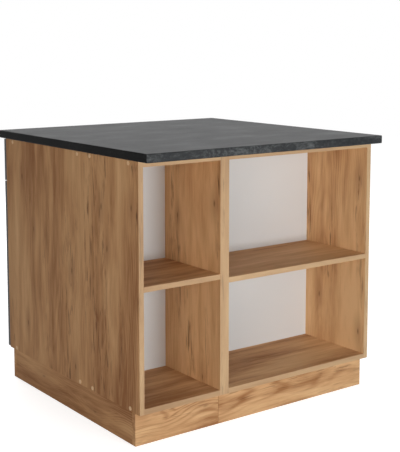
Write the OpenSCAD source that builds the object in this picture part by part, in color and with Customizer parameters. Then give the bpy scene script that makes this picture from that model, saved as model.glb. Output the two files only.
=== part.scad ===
// Kitchen island: two open shelf units stand back to back with two door units under one worktop.
// Millimetres, +Z up, the floor is z = 0, the doors face -Y and the open shelves face +Y.

/* [Units] */
// Width of the narrow unit on each long side
narrow_w = 300; // [260:10:400]
// Width of the wide unit on each long side
wide_w = 600; // [540:10:800]
// Depth of the door units' carcasses
door_unit_d = 518; // [490:1:600]
// Depth of the open units' carcasses
open_unit_d = 298; // [240:1:400]
// Height of the carcasses
case_h = 720; // [680:1:800]
// Clear height under the carcasses
leg_h = 100; // [80:1:150]

/* [Boards] */
// Thickness of the oak-faced boards
board_t = 16; // [15:1:19]
// Thickness of the back boards
back_t = 3; // [2.5:0.5:4]
// Distance from a back board to the rear edge of its unit
back_inset = 9; // [6:1:14]
// Depth of the groove that holds a back board
groove_d = 7; // [5:1:9]
// Width of the rails that close the top of a door unit
rail_w = 100; // [80:1:120]

/* [Worktop] */
// Thickness of the worktop
top_t = 26; // [22:1:40]
// Radius on the worktop's edges
top_r = 3; // [1:0.5:6]
// Worktop past the carcasses on the shelf side
top_over_shelf = 46; // [30:1:70]
// Worktop past the carcasses on the door side
top_over_door = 46; // [30:1:70]
// Worktop past the carcasses at each end
top_over_end = 2; // [1:1:15]

/* [Shelves] */
// Clear height of the narrow open unit's lower bay
narrow_bay_h = 336; // [250:1:420]
// Clear height of the wide open unit's lower bay
wide_bay_h = 322; // [250:1:420]
// Clear height of the single-door cabinet's lower bay
single_bay_h = 336; // [260:1:400]
// Clear height of the drawer cabinet's lower bay
drawer_bay_h = 256; // [160:1:300]
// Gap between a loose shelf and the side beside it
shelf_gap = 0.5; // [0.2:0.1:2]
// Gap between a loose shelf and the back board behind it
shelf_back_gap = 1; // [0.5:0.5:4]
// How far the shelves behind doors stand back from the front
shelf_setback = 20; // [10:1:60]
// Radius of a shelf pin
pin_r = 2.5; // [2:0.5:3]
// Length of a shelf pin that shows
pin_out = 8; // [6:1:12]
// Depth of a shelf pin's hole
pin_in = 8; // [6:1:10]
// Distance from a shelf's front edge to its pins
pin_edge = 50; // [30:1:80]

/* [Plinth and legs] */
// Plinth set back from the shelf side
plinth_in_shelf = 29; // [20:1:50]
// Plinth set back from the door side
plinth_in_door = 20; // [15:1:50]
// Plinth set back from each end
plinth_in_end = 3; // [1:1:10]
// Gap over the plinth boards
plinth_gap = 1; // [0.5:0.5:3]
// Radius of a leg's top flange
flange_r = 30; // [26:1:36]
// Thickness of a leg's top flange
flange_t = 4; // [3:1:6]
// Radius of a leg's tube
leg_r = 15; // [13:1:18]
// Radius of the screwed stem of a foot
stem_r = 8; // [6:0.5:10]
// Length of the stem inside the leg
stem_in = 30; // [20:1:40]
// Radius of a foot
foot_r = 22; // [18:1:26]
// Height of a foot's disc
foot_t = 8; // [6:1:12]
// Length of foot that shows under the leg's tube
foot_show = 16; // [12:1:25]
// Gap between a leg's flange and the plinth board beside it
leg_gap = 2; // [1:1:10]
// Distance from a unit's rear edge to the flanges of its rear legs
leg_rear_gap = 20; // [5:1:40]
// Height of a plinth clip
clip_h = 12; // [8:1:20]
// Width of a plinth clip's pad
clip_pad_w = 28; // [20:1:36]
// Height of the clips on the long sides, as a share of the leg's height
clip_low = 0.3; // [0.25:0.01:0.4]
// Height of the clips on the ends, as a share of the leg's height
clip_high = 0.6; // [0.5:0.01:0.65]

/* [Fronts] */
// Thickness of the fronts
front_t = 16; // [16:1:19]
// Gap between a front and the carcass
front_gap = 2; // [2:0.5:3]
// Reveal between a front and the edge of its unit
reveal = 2; // [1.5:0.5:3]
// Gap over the fronts, under the worktop
top_reveal = 2; // [2:1:8]
// Gap between the drawer's front and the doors under it
mid_reveal = 3; // [2:1:5]
// Height of the drawer's front
drawer_front_h = 140; // [132:1:180]
// Distance from a front's side edges to its milled frame line
frame_side = 44; // [42:1:50]
// Distance from a front's top edge to its milled frame line
frame_top = 62; // [50:1:70]
// Distance from a door's lower edge to its milled frame line
frame_low = 44; // [36:1:60]
// Distance from the drawer front's lower edge to its milled frame line
drawer_frame_low = 38; // [30:1:44]
// Width of a milled line
line_w = 4.5; // [3:0.5:6]
// Depth of a milled line
line_d = 2.5; // [1.5:0.5:2.5]
// Number of flutes across a door's field
flutes = 4; // [3:1:6]

/* [Handles] */
// Length of a handle
handle_l = 156; // [140:1:200]
// Distance between the handle's screws
handle_pitch = 128; // [96:32:128]
// Height of the handle's bar
bar_h = 10; // [8:1:12]
// Depth of the handle's bar
bar_d = 8; // [6:1:12]
// Radius on the bar's edges
bar_r = 2; // [1:0.5:3]
// Clear depth behind the handle's bar
grip = 22; // [18:1:30]
// Radius of a handle's post
post_r = 4.5; // [4:0.5:5]
// Distance from the top of a front to the middle of its handle
handle_drop = 25; // [20:1:26]
// Radius of a handle's screw
handle_screw_r = 2; // [1.5:0.5:2.5]
// Radius of a handle screw's head
handle_head_r = 4; // [3.5:0.5:5]
// Radius of the top of a handle screw's head
handle_head_top_r = 3.2; // [2.5:0.1:4]
// Height of a handle screw's head
handle_head_t = 2.4; // [1.5:0.1:3]
// Length of screw inside a post
handle_bite = 12; // [8:1:15]

/* [Hinges] */
// Distance from a door's end to the middle of its hinge
hinge_end = 100; // [70:1:120]
// Radius of a hinge cup
cup_r = 17.5; // [17:0.5:18]
// Depth of a hinge cup
cup_d = 12.6; // [12.6:0.1:13]
// Distance from the door's edge to the cup
cup_edge = 3; // [2.8:0.1:3.2]
// Sheet of the cup
cup_t = 0.6; // [0.4:0.1:0.8]
// Length of the cup's wings, end to end
wing_l = 52; // [48:1:60]
// Width of the cup's wings
wing_w = 13; // [10:1:16]
// Distance from the door's back to the hinge's axis
axis_depth = 10; // [9.8:0.1:10]
// Radius of the hinge pin
hinge_pin_r = 0.9; // [0.7:0.1:1]
// Radius of the arm's knuckle round the pin
knuckle_r = 1.6; // [1.5:0.1:1.7]
// Sheet of the arm
arm_t = 1.4; // [1:0.1:1.6]
// Width of the arm
arm_w = 9; // [7:1:9]
// Length of the arm behind the front of the carcass
arm_l = 62; // [58:1:80]
// Distance from the front of the carcass to the plate's screws
plate_y = 37; // [32:1:40]
// Length of the mounting plate, end to end
plate_l = 50; // [44:1:60]
// Width of the mounting plate
plate_w = 18; // [14:1:22]
// Thickness of the mounting plate
plate_t = 2; // [1.5:0.5:3]
// Height of the mounting plate's rib, which the arm closes over
rib_h = 7; // [6:0.5:8]
// Distance from the front of the carcass to the rib
rib_y = 16; // [14:1:20]
// Radius of a hole for a plate's screw
plate_hole_r = 2.5; // [2:0.1:3]
// Radius of a hole for a cup's screw
wing_hole_r = 1.8; // [1.5:0.1:2]

/* [Drawer] */
// Height of the drawer's sides
drawer_side_h = 85; // [70:1:90]
// Clear depth between the drawer's box and the cabinet's back board
drawer_behind = 53; // [20:1:100]
// Height of the box over the lower edge of its front
drawer_lift = 18; // [12:1:22]
// Thickness of the drawer's bottom
drawer_base_t = 3; // [2.5:0.5:4]
// Height of the drawer's bottom over the lower edge of its sides
drawer_base_lift = 10; // [8:1:14]
// Width taken by a runner
runner_w = 12.7; // [12.7:0.1:14]
// Height of a runner
runner_h = 45; // [42:1:48]
// Sheet of the runners
runner_t = 1.2; // [1:0.1:1.3]
// Runner's middle over the lower edge of the drawer's side
runner_lift = 30; // [26:1:34]
// Distance from the front of the carcass to the runners
runner_set = 3; // [2:1:6]
// Distance from a cabinet's side to the middle member's web
middle_x = 3; // [2.6:0.1:3.4]
// Gap between the case member's lips and the drawer member's web
case_lip_gap = 2.2; // [1.6:0.1:2.6]
// Gap between the middle member's lips and the drawer's side
middle_lip_gap = 1.8; // [1.4:0.1:2.2]
// Gap between the drawer member's lips and the middle member's web
drawer_lip_gap = 1.4; // [1:0.1:2]
// Radius of a runner's ball
ball_r = 1.5; // [1.2:0.1:1.6]
// Length of a ball cage
cage_l = 150; // [120:10:170]
// Distance from a ball cage to the end of its member
cage_end = 10; // [4:1:20]
// Width of a ball cage's strip
cage_w = 4; // [3:0.5:5]
// Thickness of a ball cage's strip
cage_t = 1; // [0.8:0.1:1.4]
// Balls in a cage
cage_balls = 7; // [4:1:10]

/* [Screws] */
// Distance from a unit's front to its first screws
screw_front = 50; // [35:1:60]
// Distance from a unit's rear edge to its last screws
screw_back = 37; // [30:1:50]
// Depth of a carcass screw's head under the board's face
screw_sink = 0.5; // [0.3:0.1:1]
// Radius of a carcass screw's head
screw_head_r = 5; // [4:0.5:5.5]
// Radius of a carcass screw's shank
screw_shank_r = 3.5; // [3:0.5:3.5]
// Radius of a carcass screw's core
screw_core_r = 2.5; // [2:0.1:2.6]
// Length of a carcass screw
screw_l = 49; // [45:1:49]
// Radius of a screw cap
cap_r = 6.5; // [6:0.5:8]
// Height of a screw cap
cap_t = 1; // [0.6:0.1:1.6]
// Radius of a connector's sleeve
sleeve_r = 4; // [3.5:0.5:5]
// Radius of a connector's head
sleeve_head_r = 7.5; // [6:0.5:9]
// Thickness of a connector's head
sleeve_head_t = 1.5; // [1:0.5:2]
// Length of a worktop screw
top_screw_l = 35; // [30:1:38]
// Radius of a worktop screw
top_screw_r = 1.75; // [1.5:0.25:2.5]
// Radius of a worktop screw's head
top_screw_head_r = 3.5; // [3:0.5:4]
// Height of the rim on a worktop screw's head
top_screw_rim = 0.4; // [0.2:0.1:0.8]
// Distance from a unit's outer faces to its worktop screws
top_screw_side = 60; // [40:1:90]
// Distance from the edges of a rail to its worktop screws
top_screw_in = 24; // [16:1:30]
// Distance along y from the carcass screws to the connectors beside them
connector_in = 30; // [16:1:60]
// Height of the lower connectors over the bottom boards
connector_low = 30; // [16:1:60]
// Distance from the top of the carcasses to the upper connectors
connector_high = 27; // [25:1:60]

/* [Hidden] */

$fn = 48;
fit = 0.05;                                     // clearance round pins and screws
screw_play = 0.2;                               // clearance round a screw that passes through a front
groove_fit = 0.1;                               // clearance on each face of a back board
cut = 1;                                        // how far a cutting tool passes the face it cuts

// Overall places
half_w = (narrow_w + wide_w) / 2;
handle_out = front_gap + front_t + grip + bar_d;
reach_front = max(handle_out, top_over_door);
front_y = (reach_front - door_unit_d - open_unit_d - top_over_shelf) / 2;
mid_y = front_y + door_unit_d;
rear_y = mid_y + open_unit_d;
case_z = leg_h;
top_z = leg_h + case_h;

// A unit is [left x, right x, y of its open front, y of its rear edge]
narrow_open = [half_w - narrow_w, half_w, rear_y, mid_y];
wide_open = [-half_w, half_w - narrow_w, rear_y, mid_y];
single_cabinet = [-half_w, narrow_w - half_w, front_y, mid_y];
drawer_cabinet = [narrow_w - half_w, half_w, front_y, mid_y];
UNITS = [narrow_open, wide_open, single_cabinet, drawer_cabinet];

// Depth d behind a unit's open front, or in front of its rear edge
function unit_dir(u) = u[2] > u[3] ? 1 : -1;
function behind_front(u, d) = u[2] - unit_dir(u) * d;
function before_rear(u, d) = u[3] + unit_dir(u) * d;

// Shelf undersides
bay_z = case_z + board_t;
narrow_shelf_z = bay_z + narrow_bay_h;
wide_shelf_z = bay_z + wide_bay_h;
single_shelf_z = bay_z + single_bay_h;
drawer_shelf_z = bay_z + drawer_bay_h;
back_face = back_inset + back_t;                // a back board's visible face, from the rear edge

// Fronts
front_low_z = case_z + reveal;
front_high_z = top_z - top_reveal;
drawer_front_z = front_high_z - drawer_front_h;
door_high_z = drawer_front_z - mid_reveal;
front_back_y = front_y - front_gap;
door_w = narrow_w - 2 * reveal;
wide_door_w = wide_w / 2 - 2 * reveal;
single_hinges_z = [front_low_z + hinge_end, front_high_z - hinge_end];
pair_hinges_z = [front_low_z + hinge_end, door_high_z - hinge_end];

// Drawer
drawer_l = door_unit_d - back_face - runner_set - drawer_behind;
box_z = drawer_front_z + drawer_lift;
box_x = [drawer_cabinet[0] + board_t + runner_w, drawer_cabinet[1] - board_t - runner_w];
box_y = [front_back_y, front_y + runner_set + drawer_l];
base_z = box_z + drawer_base_lift;
runner_z = box_z + runner_lift;
race = 2 * (ball_r + fit);                      // space for the balls between two members

// Legs
leg_x_in = plinth_in_end + board_t + flange_r + leg_gap;
leg_y_shelf = plinth_in_shelf + board_t + flange_r + leg_gap;
leg_y_door = plinth_in_door + board_t + flange_r + leg_gap;
leg_y_rear = flange_r + leg_rear_gap;
function leg_front(u) = is_door_unit(u) ? leg_y_door : leg_y_shelf;
function unit_legs(u) = [
    for (x = [u[0] + leg_x_in, u[1] - leg_x_in])
        for (y = [behind_front(u, leg_front(u)), before_rear(u, leg_y_rear)]) [x, y]
];

// ---------------------------------------------------------------- shared shapes

module slab(x, y, z) {
    translate([min(x), min(y), min(z)])
        cube([abs(x[1] - x[0]), abs(y[1] - y[0]), abs(z[1] - z[0])]);
}

module rounded_rect(w, h, r) {
    square([w - 2 * r, h], center = true);
    square([w, h - 2 * r], center = true);
    for (x = [-1, 1])
        for (y = [-1, 1])
            translate([x * (w / 2 - r), y * (h / 2 - r)]) circle(r);
}

// A bent sheet: its centre line as a 2-D path of thickness t
module stroke(points, t) {
    for (i = [0:len(points) - 2]) {
        run = points[i + 1] - points[i];
        translate(points[i]) rotate(atan2(run[1], run[0]))
            translate([0, -t / 2]) square([norm(run), t]);
        translate(points[i + 1]) circle(t / 2);
    }
}

// ---------------------------------------------------------------- screws and pins of the carcasses

// One carcass screw, its point up and its head sunk under the board's face at z = 0
module carcass_screw() screw_form(0, screw_sink);
module carcass_screw_hole() screw_form(fit, -cut);

// The screw's outline grown by g, with its head's face at z = face
module screw_form(g, face) {
    neck = screw_sink + 1;
    rotate_extrude()
        polygon([
            [0, face], [screw_head_r + g, face], [screw_head_r + g, neck],
            [screw_shank_r + g, neck + screw_head_r - screw_shank_r],
            [screw_shank_r + g, board_t], [screw_core_r + g, board_t],
            [screw_core_r + g, screw_l + g], [0, screw_l + g]
        ]);
}

// Puts a child at every screw of a unit, with z pointing into the unit
module at_screws(u) {
    for (y = [behind_front(u, screw_front), before_rear(u, screw_back)])
        for (z = [case_z + board_t / 2, top_z - board_t / 2]) {
            translate([u[0], y, z]) rotate([0, 90, 0]) children();
            translate([u[1], y, z]) rotate([0, -90, 0]) children();
        }
}

// Shelf pins of one unit: the shelf's underside is at z, its front edge set back by d
module unit_pins(u, z, d, g = 0) {
    for (y = [behind_front(u, d + pin_edge), before_rear(u, back_face + pin_edge)]) {
        translate([u[0] + board_t - pin_in - g, y, z - pin_r]) rotate([0, 90, 0])
            cylinder(r = pin_r + g, h = pin_in + pin_out + g);
        translate([u[1] - board_t + pin_in + g, y, z - pin_r]) rotate([0, -90, 0])
            cylinder(r = pin_r + g, h = pin_in + pin_out + g);
    }
}

module all_pins(g = 0) {
    unit_pins(narrow_open, narrow_shelf_z, 0, g);
    unit_pins(wide_open, wide_shelf_z, 0, g);
    unit_pins(single_cabinet, single_shelf_z, shelf_setback, g);
    unit_pins(drawer_cabinet, drawer_shelf_z, shelf_setback, g);
}

// Puts a child at each connector between the two door units, its axis along x
connector_y = [front_y + screw_front + connector_in, mid_y - screw_back - connector_in];
connector_z = [bay_z + connector_low, top_z - connector_high];
module at_connectors() {
    for (y = connector_y)
        for (z = connector_z)
            translate([drawer_cabinet[0], y, z]) rotate([0, 90, 0]) children();
}

// Puts a child under each worktop screw, at the underside of the top boards and rails
module at_top_screws() {
    for (u = UNITS)
        for (x = [u[0] + top_screw_side, u[1] - top_screw_side])
            for (y = [behind_front(u, top_screw_in), before_rear(u, rail_w - top_screw_in)])
                translate([x, y, top_z - board_t]) children();
}

module top_screw() top_screw_form(0, 0);
module top_screw_hole() top_screw_form(fit, -cut);

// The screw's outline grown by g, with its head's face at z = face
module top_screw_form(g, face) {
    neck = top_screw_rim + top_screw_head_r - top_screw_r;
    rotate_extrude()
        polygon([
            [0, face], [top_screw_head_r + g, face], [top_screw_head_r + g, top_screw_rim],
            [top_screw_r + g, neck], [top_screw_r + g, top_screw_l + g], [0, top_screw_l + g]
        ]);
}

// ---------------------------------------------------------------- carcass boards

// A door unit's back board runs up behind the rear rail, an open unit's stops inside the top board
function is_door_unit(u) = u[2] == front_y;
function back_high_z(u) = is_door_unit(u) ? top_z : top_z - board_t + groove_d;

// The groove that runs round the inside of a unit for its back board
module back_groove(u) {
    slab([u[0] + board_t - groove_d, u[1] - board_t + groove_d],
         [before_rear(u, back_inset - groove_fit), before_rear(u, back_face + groove_fit)],
         [case_z + board_t - groove_d, back_high_z(u) + (is_door_unit(u) ? cut : 0)]);
}

// Side board of a unit, its outer face at x0 and its inner face at x1
module side_board(u, x0, x1) {
    difference() {
        slab([x0, x1], [u[2], u[3]], [case_z, top_z]);
        back_groove(u);
        at_screws(u) carcass_screw_hole();
        all_pins(fit);
        if (is_door_unit(u))
            at_connectors() cylinder(r = sleeve_r + fit, h = 2 * board_t + 2 * cut, center = true);
    }
}

module left_side(u) side_board(u, u[0], u[0] + board_t);
module right_side(u) side_board(u, u[1], u[1] - board_t);

// Board across a unit between its sides, from z up
module cross_board(u, z) {
    difference() {
        slab([u[0] + board_t, u[1] - board_t], [u[2], u[3]], [z, z + board_t]);
        back_groove(u);
        at_screws(u) carcass_screw_hole();
        at_top_screws() top_screw_hole();
    }
}

module bottom_board(u) cross_board(u, case_z);
module top_board(u) cross_board(u, top_z - board_t);

// The two flat rails that tie the sides of a door unit together under the worktop
module rails(u) {
    for (y = [[behind_front(u, 0), behind_front(u, rail_w)],
              [before_rear(u, back_face), before_rear(u, back_face + rail_w)]])
        difference() {
            slab([u[0] + board_t, u[1] - board_t], y, [top_z - board_t, top_z]);
            at_screws(u) carcass_screw_hole();
            at_top_screws() top_screw_hole();
        }
}

module back_board(u) {
    slab([u[0] + board_t - groove_d + groove_fit, u[1] - board_t + groove_d - groove_fit],
         [before_rear(u, back_inset), before_rear(u, back_face)],
         [case_z + board_t - groove_d + groove_fit, back_high_z(u) - groove_fit]);
}

module loose_shelf(u, z, d) {
    slab([u[0] + board_t + shelf_gap, u[1] - board_t - shelf_gap],
         [behind_front(u, d), before_rear(u, back_face + shelf_back_gap)], [z, z + board_t]);
}

module narrow_open_outer_side() color("#a87d4d") right_side(narrow_open);
module narrow_open_inner_side() color("#a87d4d") left_side(narrow_open);
module narrow_open_bottom() color("#9c7245") bottom_board(narrow_open);
module narrow_open_top() color("#9c7245") top_board(narrow_open);
module narrow_open_shelf() color("#8f683f") loose_shelf(narrow_open, narrow_shelf_z, 0);
module narrow_open_back() color("#cbc5bf") back_board(narrow_open);

module wide_open_outer_side() color("#a87d4d") left_side(wide_open);
module wide_open_inner_side() color("#a87d4d") right_side(wide_open);
module wide_open_bottom() color("#9c7245") bottom_board(wide_open);
module wide_open_top() color("#9c7245") top_board(wide_open);
module wide_open_shelf() color("#8f683f") loose_shelf(wide_open, wide_shelf_z, 0);
module wide_open_back() color("#cbc5bf") back_board(wide_open);

module single_cabinet_outer_side() color("#a87d4d") left_side(single_cabinet);
module single_cabinet_inner_side() color("#a87d4d") right_side(single_cabinet);
module single_cabinet_bottom() color("#9c7245") bottom_board(single_cabinet);
module single_cabinet_rails() color("#9c7245") rails(single_cabinet);
module single_cabinet_shelf() color("#8f683f") loose_shelf(single_cabinet, single_shelf_z, shelf_setback);
module single_cabinet_back() color("#cbc5bf") back_board(single_cabinet);

module drawer_cabinet_outer_side() color("#a87d4d") right_side(drawer_cabinet);
module drawer_cabinet_inner_side() color("#a87d4d") left_side(drawer_cabinet);
module drawer_cabinet_bottom() color("#9c7245") bottom_board(drawer_cabinet);
module drawer_cabinet_rails() color("#9c7245") rails(drawer_cabinet);
module drawer_cabinet_shelf() color("#8f683f") loose_shelf(drawer_cabinet, drawer_shelf_z, shelf_setback);
module drawer_cabinet_back() color("#cbc5bf") back_board(drawer_cabinet);

// ---------------------------------------------------------------- worktop

module worktop() color("#56585a") {
    size_x = 2 * (half_w + top_over_end);
    size_y = rear_y + top_over_shelf - front_y + top_over_door;
    mid = [0, (rear_y + top_over_shelf + front_y - top_over_door) / 2, top_z + top_t / 2];
    difference() {
        translate(mid) intersection() {
            rotate([90, 0, 90]) linear_extrude(size_x, center = true) rounded_rect(size_y, top_t, top_r);
            rotate([90, 0, 0]) linear_extrude(size_y, center = true) rounded_rect(size_x, top_t, top_r);
        }
        at_top_screws() top_screw_hole();
    }
}

// ---------------------------------------------------------------- plinth

plinth_x = half_w - plinth_in_end;
plinth_y = [front_y + plinth_in_door, rear_y - plinth_in_shelf];
plinth_z = [0, case_z - plinth_gap];
joint = 0.3;                                    // half the gap where two plinth boards meet

module plinth_narrow_boards() color("#b98d5c") {
    slab([-plinth_x, single_cabinet[1] - joint], [plinth_y[0], plinth_y[0] + board_t], plinth_z);
    slab([narrow_open[0] + joint, plinth_x], [plinth_y[1] - board_t, plinth_y[1]], plinth_z);
}

module plinth_wide_boards() color("#b98d5c") {
    slab([drawer_cabinet[0] + joint, plinth_x], [plinth_y[0], plinth_y[0] + board_t], plinth_z);
    slab([-plinth_x, wide_open[1] - joint], [plinth_y[1] - board_t, plinth_y[1]], plinth_z);
}

module plinth_end_boards() color("#a87d4d")
    for (side = [-1, 1])
        slab([side * plinth_x, side * (plinth_x - board_t)],
             [plinth_y[0] + board_t, plinth_y[1] - board_t], plinth_z);

// ---------------------------------------------------------------- legs

// Leg: a flange under the carcass on a tube that opens at the bottom for the foot's stem
module leg_tube() {
    bore_top = foot_show + stem_in + 1;
    flange_low = leg_h - flange_t;
    collar = 6;
    lead_in = 2;
    edge = 1;
    rotate_extrude()
        polygon([
            [0, bore_top], [stem_r + fit, bore_top], [stem_r + fit, foot_show],
            [leg_r - lead_in, foot_show], [leg_r, foot_show + lead_in],
            [leg_r, flange_low - collar], [leg_r + collar, flange_low], [flange_r - edge, flange_low],
            [flange_r, flange_low + edge], [flange_r, leg_h], [0, leg_h]
        ]);
}

module leg_foot() {
    edge = 1;
    slope_w = 3;
    slope_h = 2;
    nut = 3;
    rotate_extrude()
        polygon([
            [0, 0], [foot_r - edge, 0], [foot_r, edge],
            [foot_r, foot_t - slope_h], [foot_r - slope_w, foot_t],
            [stem_r + nut, foot_t], [stem_r + nut, foot_t + nut], [stem_r, foot_t + nut],
            [stem_r, foot_show + stem_in], [0, foot_show + stem_in]
        ]);
}

module at_legs()
    for (u = UNITS)
        for (p = unit_legs(u)) translate([p[0], p[1], 0]) children();

module leg_tubes() color("#202022") at_legs() leg_tube();
module leg_feet() color("#2a2a2c") at_legs() leg_foot();

// Clip: a ring sprung round a leg's tube, a neck, and a pad on the plinth board at x = reach
module plinth_clip(reach) {
    ring_r = leg_r + 2.5;
    neck_w = 8;
    pad_t = 3;
    pad_over = 4;
    mouth = leg_r * 0.7;
    difference() {
        union() {
            cylinder(r = ring_r, h = clip_h);
            slab([leg_r, reach], [-neck_w / 2, neck_w / 2], [0, clip_h]);
            slab([reach - pad_t, reach], [-clip_pad_w / 2, clip_pad_w / 2],
                 [-pad_over, clip_h + pad_over]);
        }
        translate([0, 0, -cut]) cylinder(r = leg_r + fit, h = clip_h + 2 * cut);
        slab([-ring_r - cut, -cut], [-mouth, mouth], [-cut, clip_h + cut]);
    }
}

clip_reach = flange_r + leg_gap;
module plinth_clips() color("#303033") {
    // on the long sides, low on the front legs of every unit
    for (u = UNITS)
        for (x = [u[0] + leg_x_in, u[1] - leg_x_in])
            translate([x, behind_front(u, leg_front(u)), leg_h * clip_low])
                rotate(unit_dir(u) * 90) plinth_clip(clip_reach);
    // on the ends, higher, on the outer front leg of every unit
    for (u = UNITS) {
        side = u[0] == -half_w ? -1 : 1;
        translate([side * (half_w - leg_x_in), behind_front(u, leg_front(u)), leg_h * clip_high])
            rotate(side > 0 ? 0 : 180) plinth_clip(clip_reach);
    }
}

// ---------------------------------------------------------------- hardware of the carcasses

module shelf_pins() color("#c9c9cc") all_pins();

module carcass_screws() color("#c4b583")
    for (u = UNITS) at_screws(u) carcass_screw();

module screw_cap() {
    rotate_extrude()
        polygon([[0, 0], [cap_r, 0], [cap_r, cap_t * 0.4], [cap_r - cap_t * 0.6, cap_t], [0, cap_t]]);
}

// Caps cover the screws on the two ends of the island, and none are used inside
module screw_caps() color("#d9c7a8")
    for (u = UNITS)
        for (y = [behind_front(u, screw_front), before_rear(u, screw_back)])
            for (z = [case_z + board_t / 2, top_z - board_t / 2])
                translate([u[0] == -half_w ? -half_w : half_w, y, z])
                    rotate([0, u[0] == -half_w ? -90 : 90, 0]) screw_cap();

// A connector is a headed sleeve from one side and a headed bolt from the other
module unit_connectors() color("#bfc0c4")
    at_connectors() {
        sleeve_wall = 1.2;
        sleeve_short = 3;
        sleeve_floor = 2;
        bolt_short = 4;
        bolt_r = sleeve_r - sleeve_wall;
        difference() {
            union() {
                translate([0, 0, -board_t - sleeve_head_t]) cylinder(r = sleeve_head_r, h = sleeve_head_t);
                translate([0, 0, -board_t]) cylinder(r = sleeve_r, h = 2 * board_t - sleeve_short);
            }
            translate([0, 0, -board_t + sleeve_floor]) cylinder(r = bolt_r + fit, h = 2 * board_t);
        }
        translate([0, 0, board_t]) cylinder(r = sleeve_head_r, h = sleeve_head_t);
        translate([0, 0, -board_t + bolt_short]) cylinder(r = bolt_r, h = 2 * board_t - bolt_short);
    }

module worktop_screws() color("#c4b583") at_top_screws() top_screw();

// ---------------------------------------------------------------- hinges

// The hinge's axis stands as far from the door's edge as lets the edge's back corner swing past the side board
swing_gap = 0.2;
axis_edge = sqrt(pow(axis_depth + front_gap - swing_gap, 2) - pow(axis_depth, 2));

// Hinge frames: origin where the unit's outer face meets its front, x into the unit, y into the depth
hinge_axis = [reveal + axis_edge, -front_gap - axis_depth];
neck_clear = 3;                                  // from the open door's back to the arm's neck
arm_x = hinge_axis[0] + axis_depth + cup_t + neck_clear;
body_x = board_t + plate_t + rib_h + arm_t / 2;
neck_y = 3;                                      // where the neck begins to slope to the arm's body
body_y = 11;                                     // where the arm's body begins
sides_y = 14;                                    // where the arm's sides begin
rib_short = 4;                                   // the rib ends before the arm does
arm_path = [hinge_axis, [arm_x, hinge_axis[1]], [arm_x, neck_y], [body_x, body_y], [body_x, arm_l]];

module at_hinges() {
    for (z = single_hinges_z) translate([single_cabinet[0], front_y, z]) children();
    for (z = pair_hinges_z) {
        translate([drawer_cabinet[0], front_y, z]) children();
        translate([drawer_cabinet[1], front_y, z]) mirror([1, 0, 0]) children();
    }
}

// Arm: a bent sheet with a knuckle round the pin in the door's cup, and two flanges over the plate's rib
module hinge_arm() {
    side_t = 1.2;
    difference() {
        union() {
            translate([0, 0, -arm_w / 2]) linear_extrude(arm_w) {
                stroke(arm_path, arm_t);
                translate(hinge_axis) circle(knuckle_r);
            }
            for (side = [-1, 1])
                slab([board_t + plate_t, body_x], [sides_y, arm_l],
                     [side * arm_w / 2, side * (arm_w / 2 + side_t)]);
        }
        translate([hinge_axis[0], hinge_axis[1], -arm_w]) cylinder(r = hinge_pin_r + fit, h = 2 * arm_w);
    }
}

// Plate: wings for two screws, and a rib that the arm closes over
module hinge_plate() {
    difference() {
        union() {
            slab([board_t, board_t + plate_t], [plate_y - plate_w / 2, plate_y + plate_w / 2],
                 [-plate_l / 2 + plate_w / 2, plate_l / 2 - plate_w / 2]);
            for (side = [-1, 1])
                translate([board_t, plate_y, side * (plate_l - plate_w) / 2]) rotate([0, 90, 0])
                    cylinder(r = plate_w / 2, h = plate_t);
            slab([board_t + plate_t, board_t + plate_t + rib_h], [rib_y, arm_l - rib_short],
                 [-arm_w / 2 + fit, arm_w / 2 - fit]);
        }
        for (side = [-1, 1])
            translate([board_t - cut, plate_y, side * (plate_l - plate_w) / 2]) rotate([0, 90, 0])
                cylinder(r = plate_hole_r, h = plate_t + 2 * cut);
    }
}

module hinge_arms() color("#b9babd") at_hinges() hinge_arm();
module hinge_plates() color("#aeb0b4") at_hinges() hinge_plate();

// Door frames: origin at the lower corner of the hinged edge on the door's back, x across, y into the carcass
cup_mid = cup_edge + cup_r;

module hinge_cup() {
    rim_r = cup_r + 0.7;
    hole_in = 4;                                 // from a wing's end to its screw
    inner_r = cup_r - cup_t;
    difference() {
        union() {
            translate([cup_mid, 0, 0]) rotate([90, 0, 0]) cylinder(r = cup_r, h = cup_d);
            translate([cup_mid, cup_t, 0]) rotate([90, 0, 0]) cylinder(r = rim_r, h = cup_t);
            slab([cup_mid - wing_w / 2, cup_mid + wing_w / 2], [0, cup_t], [-wing_l / 2, wing_l / 2]);
        }
        translate([cup_mid, cup_t + cut, 0]) rotate([90, 0, 0]) cylinder(r = inner_r, h = cup_d + cut);
        for (side = [-1, 1])
            translate([cup_mid, cut, side * (wing_l / 2 - hole_in)]) rotate([90, 0, 0])
                cylinder(r = wing_hole_r, h = 2 * cut);
    }
    pin_half = sqrt(pow(inner_r, 2) - pow(cup_mid - axis_edge, 2)) - swing_gap;
    translate([axis_edge, -axis_depth, -pin_half]) cylinder(r = hinge_pin_r, h = 2 * pin_half);
}

// ---------------------------------------------------------------- milled fronts

// A milled V line of length l along +z, cut into the face y = 0 from the -y side
module v_line(l) {
    linear_extrude(l)
        polygon([[-line_w / 2, 0], [-line_w / 2, -cut], [line_w / 2, -cut], [line_w / 2, 0], [0, line_d]]);
}

// The same with mitred ends, for the frame line, whose inner side is +x
module mitred_line(l) {
    half = line_w / 2;
    intersection() {
        translate([0, 0, -line_w]) v_line(l + 2 * line_w);
        translate([0, line_d + cut, 0]) rotate([90, 0, 0]) linear_extrude(line_d + 3 * cut)
            polygon([[-half, -half], [half, half], [half, l - half], [-half, l + half]]);
    }
}

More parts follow.
